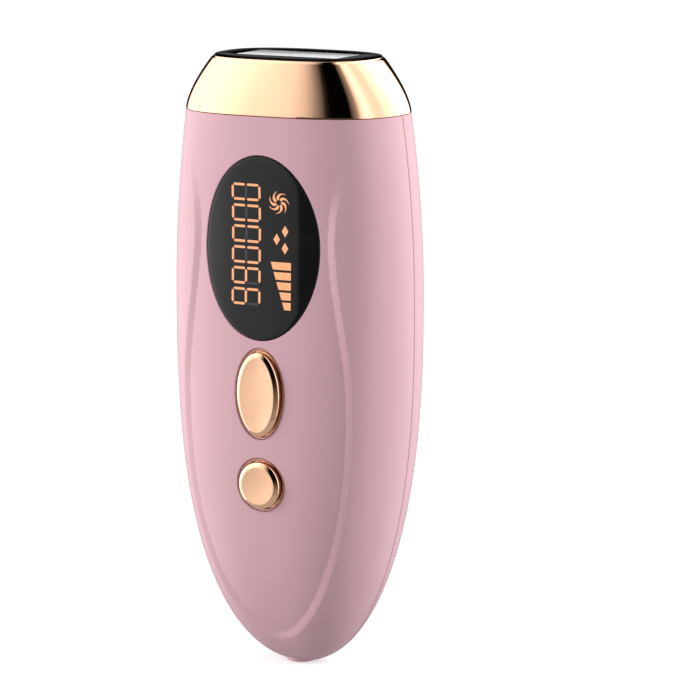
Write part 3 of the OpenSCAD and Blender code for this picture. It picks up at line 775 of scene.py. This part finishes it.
def rounded_rectangle(half_x, half_y, radius, z, centre_y, steps):
    """Points matched by angle to a ring of the same count."""
    t = np.linspace(0.0, 2 * np.pi, steps, endpoint=False)
    dx, dy = np.cos(t), np.sin(t)
    reach = np.minimum(half_x / np.maximum(np.abs(dx), 1e-9), half_y / np.maximum(np.abs(dy), 1e-9))
    x, y = reach * dx, reach * dy
    cx, cy = half_x - radius, half_y - radius
    corner = (np.abs(x) > cx) & (np.abs(y) > cy)
    for k in np.nonzero(corner)[0]:
        d = np.array([abs(dx[k]), abs(dy[k])])
        c = np.array([cx, cy])
        b = d @ c
        s = b + math.sqrt(max(b * b - c @ c + radius * radius, 0.0))
        x[k], y[k] = s * dx[k], s * dy[k]
    return np.stack([x, centre_y + y, np.full(steps, z)], -1)


def build_bezel():
    """Black rim of the treatment face with a stepped window."""
    low, high = (np.array(v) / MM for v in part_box("head_bezel"))
    glass_low, glass_high = (np.array(v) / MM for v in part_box("filter_glass"))
    half_l = (glass_high[0] - glass_low[0]) / 2
    half_w = (glass_high[1] - glass_low[1]) / 2
    middle = (glass_high[1] + glass_low[1]) / 2
    steps = 256
    top = high[2]
    collar_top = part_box("head_collar")[1][2] / MM
    rings = []
    inset = COLLAR_WALL + 0.15
    rings.append(superellipse_ring(RIM_W - inset, RIM_FRONT - inset, RIM_REAR - inset, low[2], steps))
    rings.append(superellipse_ring(RIM_W - inset, RIM_FRONT - inset, RIM_REAR - inset, collar_top, steps))
    for k, lift in ((0.45, 0.0), (0.42, 0.12), (0.5, 0.27), (0.68, 0.37), (0.9, 0.4)):
        height = collar_top + lift * (top - collar_top) / 0.4
        rings.append(superellipse_ring(RIM_W - k, RIM_FRONT - k, RIM_REAR - k, height, steps))
    rings.append(rounded_rectangle(half_l + 0.55, half_w + 0.55, 0.9, top, middle, steps))
    rings.append(rounded_rectangle(half_l + 0.3, half_w + 0.3, 0.7, top - 0.08, middle, steps))
    rings.append(rounded_rectangle(half_l + 0.1, half_w + 0.1, 0.5, top - 0.3, middle, steps))
    rings.append(rounded_rectangle(half_l + 0.1, half_w + 0.1, 0.5, glass_low[2], middle, steps))
    rings.append(rounded_rectangle(half_l - 1.2, half_w - 1.2, 0.4, glass_low[2], middle, steps))
    rings.append(rounded_rectangle(half_l - 1.2, half_w - 1.2, 0.4, low[2], middle, steps))
    rings.append(rings[0])
    obj = make_object("bezel", np.concatenate(rings), grid_faces(len(rings), steps, closed=True),
                      [looks["black_gloss"]])
    weld(obj)
    sharpen(obj, 40)
    return finish_piece(obj, "head_bezel_gloss", "housing", ["head_bezel"])


build_bezel()


def build_glass():
    low, high = (np.array(v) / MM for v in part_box("filter_glass"))
    half_l, half_w = (high[0] - low[0]) / 2, (high[1] - low[1]) / 2
    middle = (high[1] + low[1]) / 2
    steps = 128
    rings = []
    for inset, z in ((0.3, low[2]), (0.0, low[2] + 0.3), (0.0, high[2] - 0.3),
                     (0.12, high[2] - 0.08), (0.32, high[2])):
        rings.append(rounded_rectangle(half_l - inset, half_w - inset, 0.4, z, middle, steps))
    faces = grid_faces(len(rings), steps, closed=True)
    faces.append(list(range(steps))[::-1])
    faces.append(list(range((len(rings) - 1) * steps, len(rings) * steps)))
    obj = make_object("glass", np.concatenate(rings), faces, [looks["filter_glass"]])
    sharpen(obj, 25)
    return finish_piece(obj, "filter_glass_slab", "housing", ["filter_glass"])


build_glass()


# ------------------------------------------------------------------ display

LENS_RECESS = 0.04


def lens_y(x, z):
    """Front surface of the lens, a hair below the panel round it."""
    x, z = np.asarray(x, float), np.asarray(z, float)
    return skin_y(-1, x, z) + LENS_RECESS


def build_lens():
    spokes = 160
    t = np.linspace(0.0, 2 * np.pi, spokes, endpoint=False)
    shares = list(np.linspace(0.04, 1.0, 26))
    points = [np.array([[0.0, float(lens_y(0.0, DISPLAY_Z)), DISPLAY_Z]])]
    rim = 0.5
    for s in shares:
        x = (DISPLAY_RX - rim) * s * np.cos(t)
        z = DISPLAY_Z + (DISPLAY_RZ - rim) * s * np.sin(t)
        points.append(np.stack([x, lens_y(x, z), z], -1))
    for angle in (20, 40, 60, 80, 90):
        turn = math.radians(angle)
        out = rim * math.sin(turn)
        x = (DISPLAY_RX - rim + out) * np.cos(t)
        z = DISPLAY_Z + (DISPLAY_RZ - rim + out) * np.sin(t)
        points.append(np.stack([x, lens_y(x, z) + rim * (1 - math.cos(turn)), z], -1))
    x, z = DISPLAY_RX * np.cos(t), DISPLAY_Z + DISPLAY_RZ * np.sin(t)
    points.append(np.stack([x, lens_y(x, z) + 1.35, z], -1))
    for s in (0.8, 0.4):
        xs, zs = x * s, DISPLAY_Z + (z - DISPLAY_Z) * s
        points.append(np.stack([xs, lens_y(xs, zs) + 1.35, zs], -1))
    points.append(np.array([[0.0, float(lens_y(0.0, DISPLAY_Z)) + 1.35, DISPLAY_Z]]))
    ring_count = len(points) - 2
    faces = [[0, 1 + j, 1 + (j + 1) % spokes] for j in range(spokes)]
    faces += grid_faces(ring_count, spokes, closed=True, base=1, flip=True)
    end = 1 + ring_count * spokes
    last = end - spokes
    faces += [[end, last + (j + 1) % spokes, last + j] for j in range(spokes)]
    obj = make_object("lens", np.concatenate(points), faces, [looks["lens_smoke"]])
    weld(obj)
    sharpen(obj, 50)
    return finish_piece(obj, "display_lens_gloss", "housing", ["display_lens"])


build_lens()

GLYPH_LIFT = 0.1
GLYPH_SINK = 0.03


def glyphs(name, polygons, material, lift=GLYPH_LIFT):
    """Thin marks on the lens, each a flat polygon given as (x, z) points."""
    points, faces = [], []
    for polygon in polygons:
        base = len(points)
        count = len(polygon)
        x, z = np.array(polygon, float).T
        y = lens_y(x, z)
        points += [(x[k], y[k] - lift, z[k]) for k in range(count)]
        points += [(x[k], y[k] + GLYPH_SINK, z[k]) for k in range(count)]
        area = sum(x[k] * z[(k + 1) % count] - x[(k + 1) % count] * z[k] for k in range(count))
        order = list(range(count)) if area > 0 else list(range(count))[::-1]
        faces.append([base + k for k in order])
        faces.append([base + count + k for k in order[::-1]])
        for i, k in enumerate(order):
            n = order[(i + 1) % count]
            faces.append([base + n, base + k, base + count + k, base + count + n])
    obj = make_object(name, points, faces, [material], smooth=False)
    return finish_piece(obj, name, "housing")


DIGIT_PITCH = 5.55
DIGIT_W = 3.9
DIGIT_H = 8.4
DIGIT_X = -4.25
FIRST_DIGIT_Z = 130.6
BAR_W = 0.64
BAR_GAP = 0.26

# Segment ends in units of half width and half height: across, up
SEGMENTS = {
    "a": ((-1, 1), (1, 1)), "b": ((1, 1), (1, 0)), "c": ((1, 0), (1, -1)), "d": ((-1, -1), (1, -1)),
    "e": ((-1, 0), (-1, -1)), "f": ((-1, 1), (-1, 0)), "g": ((-1, 0), (1, 0)),
}
LIT_SEGMENTS = {0: "abcdef", 9: "abcdfg"}


def segment(centre_z, key):
    """One bar of a digit whose top points to -X and whose right side points to +Z."""
    (u0, v0), (u1, v1) = SEGMENTS[key]
    p = np.array([u0 * DIGIT_W / 2, v0 * DIGIT_H / 2])
    q = np.array([u1 * DIGIT_W / 2, v1 * DIGIT_H / 2])
    along = (q - p) / np.linalg.norm(q - p)
    side = np.array([-along[1], along[0]]) * BAR_W / 2
    p = p + along * BAR_GAP
    q = q - along * BAR_GAP
    point = along * BAR_W / 2
    loop = [p, p + point + side, q - point + side, q, q - point - side, p + point - side]
    return [(DIGIT_X - v, centre_z + u) for u, v in loop]


def digit_polygons():
    on, off = [], []
    for k, value in enumerate((0, 0, 0, 0, 9, 9)):
        centre = FIRST_DIGIT_Z - k * DIGIT_PITCH
        for key in SEGMENTS:
            (on if key in LIT_SEGMENTS[value] else off).append(segment(centre, key))
    return on, off


def fan_icon(cx, cz, inner, outer, blades):
    """Curved blades that taper towards the rim."""
    loops = []
    for k in range(blades):
        start = 2 * math.pi * k / blades
        left, right = [], []
        for s in np.linspace(0.0, 1.0, 9):
            r = inner + (outer - inner) * s
            angle = start - 0.95 * s * s
            width = 0.2 + 0.62 * math.sin(math.pi * (0.15 + 0.8 * s))
            centre = np.array([math.cos(angle), math.sin(angle)]) * r
            across = np.array([-math.sin(angle), math.cos(angle)]) * width / 2
            left.append((cx + centre[0] + across[0], cz + centre[1] + across[1]))
            right.append((cx + centre[0] - across[0], cz + centre[1] - across[1]))
        loops.append(left + right[::-1])
    return loops


def level_bars():
    """Five bars with a common right edge and a slanted left edge, shorter towards the foot."""
    right, top, foot, pitch, height = 9.4, 112.6, 100.0, 2.64, 2.0
    lean = (7.6 - 3.4) / (top - foot)
    bars = []
    for k in range(5):
        z1 = top - k * pitch
        z0 = z1 - height
        bars.append([(3.4 + (top - z1) * lean, z1), (3.4 + (top - z0) * lean, z0), (right, z0), (right, z1)])
    return bars


def drops():
    return [[(x - 0.95, z), (x, z - 1.5), (x + 0.95, z), (x, z + 1.5)]
            for x, z in ((7.6, 120.8), (5.1, 118.6), (7.6, 116.3))]


lit_digits, dim_digits = digit_polygons()
glyphs("display_digits_lit", lit_digits, LIT)
glyphs("display_digits_unlit", dim_digits, UNLIT, 0.02)
glyphs("display_fan_icon", fan_icon(5.75, 128.3, 0.75, 3.0, 7), LIT)
glyphs("display_drops", drops(), LIT)
glyphs("display_level_bars", level_bars(), LIT)


# ------------------------------------------------------------------ buttons

def oval_loft(name, cx, cz, rx, rz, rings, materials, steps=144):
    """Closed loft of ovals; rings are (inset from the rim, y) from the middle of the face to the base."""
    t = np.linspace(0.0, 2 * np.pi, steps, endpoint=False)
    points = [np.array([[cx, rings[0][1], cz]])]
    for inset, y in rings[1:-1]:
        across, up = cx + (rx - inset) * np.cos(t), cz + (rz - inset) * np.sin(t)
        points.append(np.stack([across, np.full(steps, y), up], -1))
    points.append(np.array([[cx, rings[-1][1], cz]]))
    count = len(rings) - 2
    faces = [[0, 1 + j, 1 + (j + 1) % steps] for j in range(steps)]
    faces += grid_faces(count, steps, closed=True, base=1, flip=True)
    end = 1 + count * steps
    last = end - steps
    faces += [[end, last + (j + 1) % steps, last + j] for j in range(steps)]
    obj = make_object(name, np.concatenate(points), faces, materials)
    weld(obj)
    return obj


def cap_profile(rx, face_y, base_y, chamfer_w, chamfer_h, dish, ease=0.22):
    """Dished face, eased ridge, sloped rim, eased edge and side wall."""
    rings = [(rx, face_y + dish)]
    inner = chamfer_w
    for s in np.linspace(0.08, 1.0, 14):
        inset = rx - (rx - inner - ease) * s
        rings.append((inset, face_y + dish * (1 - s * s)))
    slope_angle = math.atan2(chamfer_h, chamfer_w)
    for k in (0.35, 0.7, 1.0):
        turn = slope_angle * k
        rings.append((inner + ease - ease * k * 1.4, face_y + ease * 0.5 * k * k * math.sin(slope_angle)))
    start_inset, start_y = rings[-1]
    for s in (0.35, 0.7, 0.9):
        rings.append((start_inset + (0.12 - start_inset) * s, start_y + (chamfer_h - 0.1) * s))
    edge_y = start_y + chamfer_h - 0.1
    for k in (0.4, 0.75, 1.0):
        rings.append((0.1 * (1 - k) ** 1.5, edge_y + 0.3 * k))
    rings.append((0.0, base_y - 0.05))
    rings.append((0.05, base_y))
    rings.append((rx, base_y))
    return rings


def build_button(node, name, body, cz, rx, rz, base_y):
    low, high = (np.array(v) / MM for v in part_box(node))
    paint = [looks["gold_mirror"]]
    face_y = low[1] + 0.25
    cap = oval_loft("cap", 0, cz, rx, rz, cap_profile(min(rx, rz), face_y, base_y, 1.15, 0.75, 0.25), paint)
    flange = oval_loft("flange", 0, cz, rx + 1.7, rz + 1.6,
                       [(rx + 1.7, base_y), (0.1, base_y), (0.0, base_y + 0.1), (0.0, base_y + 0.7),
                        (0.1, base_y + 0.8), (rx + 1.7, base_y + 0.8)], paint)
    stem = rod(1, (0, cz), base_y + 0.7, high[1], 1.5, paint, 32)
    join_parts(cap, [flange, stem])
    sharpen(cap, 45)
    return finish_piece(cap, name, body, [node])


build_button("flash_button", "flash_button_cap", "flash_button", FLASH_Z, FLASH_RX, FLASH_RZ, -18.9)
build_button("level_button", "level_button_cap", "level_button", LEVEL_Z, LEVEL_R, LEVEL_R, -18.5)


def build_ring(node, name, cz, rx, rz):
    """Trim ring that lies just below the panel round a button."""
    low, high = (np.array(v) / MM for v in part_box(node))
    steps = 144
    t = np.linspace(0.0, 2 * np.pi, steps, endpoint=False)

    def ring(offset, sink=None, y=None):
        x, z = (rx + offset) * np.cos(t), cz + (rz + offset) * np.sin(t)
        level = skin_y(-1, x, z) + sink if y is None else np.full(steps, y)
        return np.stack([x, level, z], -1)
    outer, inner = RING_W - 0.04, RING_GAP
    rings = [ring(outer, y=high[1]), ring(outer, sink=0.5), ring(outer - 0.06, sink=0.42),
             ring(outer - 0.2, sink=0.4), ring(inner + 0.2, sink=0.52), ring(inner + 0.05, sink=0.58),
             ring(inner, sink=0.7), ring(inner, y=high[1])]
    rings.append(rings[0])
    faces = grid_faces(len(rings), steps, closed=True)
    obj = make_object(name, np.concatenate(rings), faces, [looks["gold_ring"]])
    weld(obj)
    sharpen(obj, 50)
    return finish_piece(obj, name, "housing", [node])


build_ring("flash_button_ring", "flash_button_trim", FLASH_Z, FLASH_RX, FLASH_RZ)
build_ring("level_button_ring", "level_button_trim", LEVEL_Z, LEVEL_R, LEVEL_R)


# ------------------------------------------------------------------ carried-over CAD parts

EASED = {
    "inlet_collar": 0.15, "case_screws": 0.12, "fan_frame": 0.2, "fan_rotor": 0.12, "dc_jack": 0.15,
    "heat_sink": 0.1, "lamp_frame": 0.25, "transformer_core": 0.3, "main_capacitor": 0.5,
    "display_module": 0.3, "air_duct": 0.25, "board_header": 0.2, "thermal_cutout": 0.2,
}
for name, width in EASED.items():
    modifier = nodes[name].modifiers.new("eased", "BEVEL")
    modifier.width = width * MM
    modifier.segments = 2
    modifier.limit_method = "ANGLE"
    modifier.angle_limit = math.radians(50.0)


# ------------------------------------------------------------------ stage, light and camera

def stage_only(obj, camera):
    """Limits a stage piece to the camera's rays, or to the gloss."""
    obj.visible_camera = camera
    obj.visible_glossy = not camera
    obj.visible_diffuse = False
    obj.visible_shadow = False
    obj.visible_transmission = False
    obj.visible_volume_scatter = False


def build_floor():
    material, tree, shader, coords = node_material("floor_paper")
    cloud = noise(tree, coords, 3.0, 2.0)
    tree.links.new(tint(tree, cloud, (0.60, 0.60, 0.60), (0.62, 0.62, 0.62)), shader.inputs["Base Color"])
    shader.inputs["Roughness"].default_value = 0.9
    shader.inputs["Specular IOR Level"].default_value = 0.0
    shader.inputs["Emission Color"].default_value = (1.0, 1.0, 1.0, 1.0)
    shader.inputs["Emission Strength"].default_value = 0.50
    bump(tree, shader, noise(tree, coords, 400.0), 0.00005, 0.2)
    half = 30000.0
    low_z = cad_box[0][2] / MM
    corners = [(-half, -half, low_z), (half, -half, low_z), (half, half, low_z), (-half, half, low_z)]
    floor = make_object("floor", corners, [[0, 1, 2, 3]], [material], smooth=False)
    stage_only(floor, True)


# Brightness of the room by the rise of a ray above the horizon; white at the horizon itself
WORLD_LEVELS = [(-1.0, 0.5), (-0.5, 0.5), (-0.03, 0.68), (-0.02, 1.0), (0.17, 1.0), (0.3, 0.85), (1.0, 0.85)]


def build_world():
    world = bpy.data.worlds.new("studio")
    world.use_nodes = True
    tree = world.node_tree
    coords = tree.nodes.new("ShaderNodeTexCoord")
    split = tree.nodes.new("ShaderNodeSeparateXYZ")
    tree.links.new(coords.outputs["Generated"], split.inputs["Vector"])
    ramp = tree.nodes.new("ShaderNodeValToRGB")
    stops = ramp.color_ramp.elements
    while len(stops) < len(WORLD_LEVELS):
        stops.new(0.5)
    for stop, (rise, level) in zip(stops, WORLD_LEVELS):
        stop.position = (rise + 1.0) / 2.0
        stop.color = (level, level, level, 1.0)
    tree.links.new(remap(tree, split.outputs["Z"], 0.0, 1.0, (-1.0, 1.0)), ramp.inputs["Fac"])
    background = tree.nodes["Background"]
    background.inputs["Color"].default_value = (1.0, 1.0, 1.0, 1.0)
    tree.links.new(ramp.outputs["Color"], background.inputs["Strength"])
    bpy.context.scene.world = world


def direction(azimuth, elevation):
    """Unit vector towards a place round the object; azimuth 0 is in front of it, 90 to its +X side."""
    a, e = math.radians(azimuth), math.radians(elevation)
    return Vector((math.sin(a) * math.cos(e), -math.cos(a) * math.cos(e), math.sin(e)))


def softbox(name, azimuth, elevation, distance, width, height, power):
    """Soft light that the gloss doesn't see."""
    data = bpy.data.lights.new(name, "AREA")
    data.shape = "RECTANGLE"
    data.size, data.size_y = width, height
    data.energy = power
    light = bpy.data.objects.new(name, data)
    back = direction(azimuth, elevation)
    light.location = Vector((0, 0, 0.085)) + back * distance
    light.rotation_mode = "QUATERNION"
    light.rotation_quaternion = back.to_track_quat("Z", "Y")
    light.visible_camera = False
    light.visible_glossy = False
    bpy.context.scene.collection.objects.link(light)


# A dim card behind the head, which the flat top mirrors; it keeps the black rim dark. Degrees.
DARK_CARD_AZIMUTH = -149.0
DARK_CARD_HALF_W = 15.0
DARK_CARD_FOOT = 4.0
DARK_CARD_LEVEL = 0.25


def reflection_dome():
    """Screen of light and dark cards that only the gloss sees: brightness runs round it by azimuth."""
    side_and_back = [(52, 0.35), (60, 1.3), (70, 1.9), (84, 1.3), (100, 1.15), (122, 1.7), (150, 2.6),
                     (170, 2.4), (174, 0.3), (178, 0.0), (180, 0.0)]
    high = [(-180, 0.0), (-118, 0.0), (-114, 1.5), (-95, 1.9), (-62, 2.0), (-40, 1.6), (-31, 1.3),
            (-20, 1.12), (-10, 0.8), (0, 0.32), (9, 0.02), (14, 0.0), (40, 0.0), (44, 0.12)] + side_and_back
    low = [(-180, 0.0), (-118, 0.0), (-114, 1.6), (-95, 2.6), (-62, 2.6), (-50, 1.9), (-40, 1.35),
           (-31, 1.12), (-24, 1.0), (-17, 0.85), (-15, 0.06), (8, 0.0), (44, 0.02)] + side_and_back
    underside = [(-90, 0.4), (-30, 0.34), (-14, 0.14), (-4, 0.03), (4, 0.0), (90, 0.0)]
    material = bpy.data.materials.new("reflection_screen")
    material.use_nodes = True
    tree = material.node_tree
    tree.nodes.clear()
    output = tree.nodes.new("ShaderNodeOutputMaterial")
    glow = tree.nodes.new("ShaderNodeEmission")
    strength = tree.nodes.new("ShaderNodeAttribute")
    strength.attribute_name = "level"
    tree.links.new(strength.outputs["Fac"], glow.inputs["Strength"])
    tree.links.new(glow.outputs["Emission"], output.inputs["Surface"])
    material.cycles.emission_sampling = "NONE"
    columns, radius = 720, 420.0
    elevations = np.radians(np.concatenate([np.linspace(-40.0, 88.0, 65), [90.0]]))
    azimuths = np.radians(np.linspace(-180.0, 180.0, columns, endpoint=False))

    def along(stops, values):
        return np.interp(np.degrees(values), [stop[0] for stop in stops], [stop[1] for stop in stops])

    around_high, around_low = along(high, azimuths), along(low, azimuths)
    points, levels = [], []
    for e in elevations:
        rise = np.clip((np.degrees(e) + 3.0) / 8.0, 0.0, 1.0)
        around = around_low * (1 - rise) + around_high * rise
        behind = np.abs(np.degrees(azimuths)) > 120
        facing_top = np.abs(np.degrees(azimuths) - DARK_CARD_AZIMUTH) < DARK_CARD_HALF_W
        around = np.where(facing_top & (np.degrees(e) > DARK_CARD_FOOT), DARK_CARD_LEVEL, around)
        around = around * np.interp(np.degrees(e), [-24, -12, 0], [0.72, 0.95, 1.05])
        floor = along(underside, e)
        for a, value in zip(azimuths, np.where(behind, around, np.maximum(around, floor))):
            points.append((radius * math.sin(a) * math.cos(e), -radius * math.cos(a) * math.cos(e),
                           110.0 + radius * math.sin(e)))
            levels.append(value)
    faces = grid_faces(len(elevations), columns, closed=True)
    dome = make_object("reflection_dome", points, faces, [material])
    attribute = dome.data.attributes.new("level", "FLOAT", "POINT")
    attribute.data.foreach_set("value", levels)
    stage_only(dome, False)


def build_camera():
    azimuth, elevation, roll = 31.0, 10.14, -0.43
    distance = 0.9786
    middle = Vector((0.0, SPLIT_Y * MM, 0.08444))
    back = direction(azimuth, elevation)
    right = Vector((math.cos(math.radians(azimuth)), math.sin(math.radians(azimuth)), 0.0))
    up = back.cross(right)
    turn = math.radians(roll)
    right, up = right * math.cos(turn) + up * math.sin(turn), up * math.cos(turn) - right * math.sin(turn)
    data = bpy.data.cameras.new("camera")
    data.sensor_width = 36.0
    data.lens = 186.7
    data.shift_x = 0.0697
    data.shift_y = 0.0054
    data.clip_start, data.clip_end = 0.01, 100.0
    camera = bpy.data.objects.new("camera", data)
    pose = Matrix((right, up, back)).transposed().to_4x4()
    pose.translation = middle + back * distance
    camera.matrix_world = pose
    bpy.context.scene.collection.objects.link(camera)
    bpy.context.scene.camera = camera


build_floor()
build_world()
softbox("left_softbox", -59, 14, 1.0, 0.35, 0.8, 9.9)
softbox("right_softbox", 112, 24, 1.0, 0.35, 0.8, 9.6)
reflection_dome()
build_camera()
scene = bpy.context.scene
scene.view_settings.view_transform = "Standard"
scene.view_settings.look = "None"
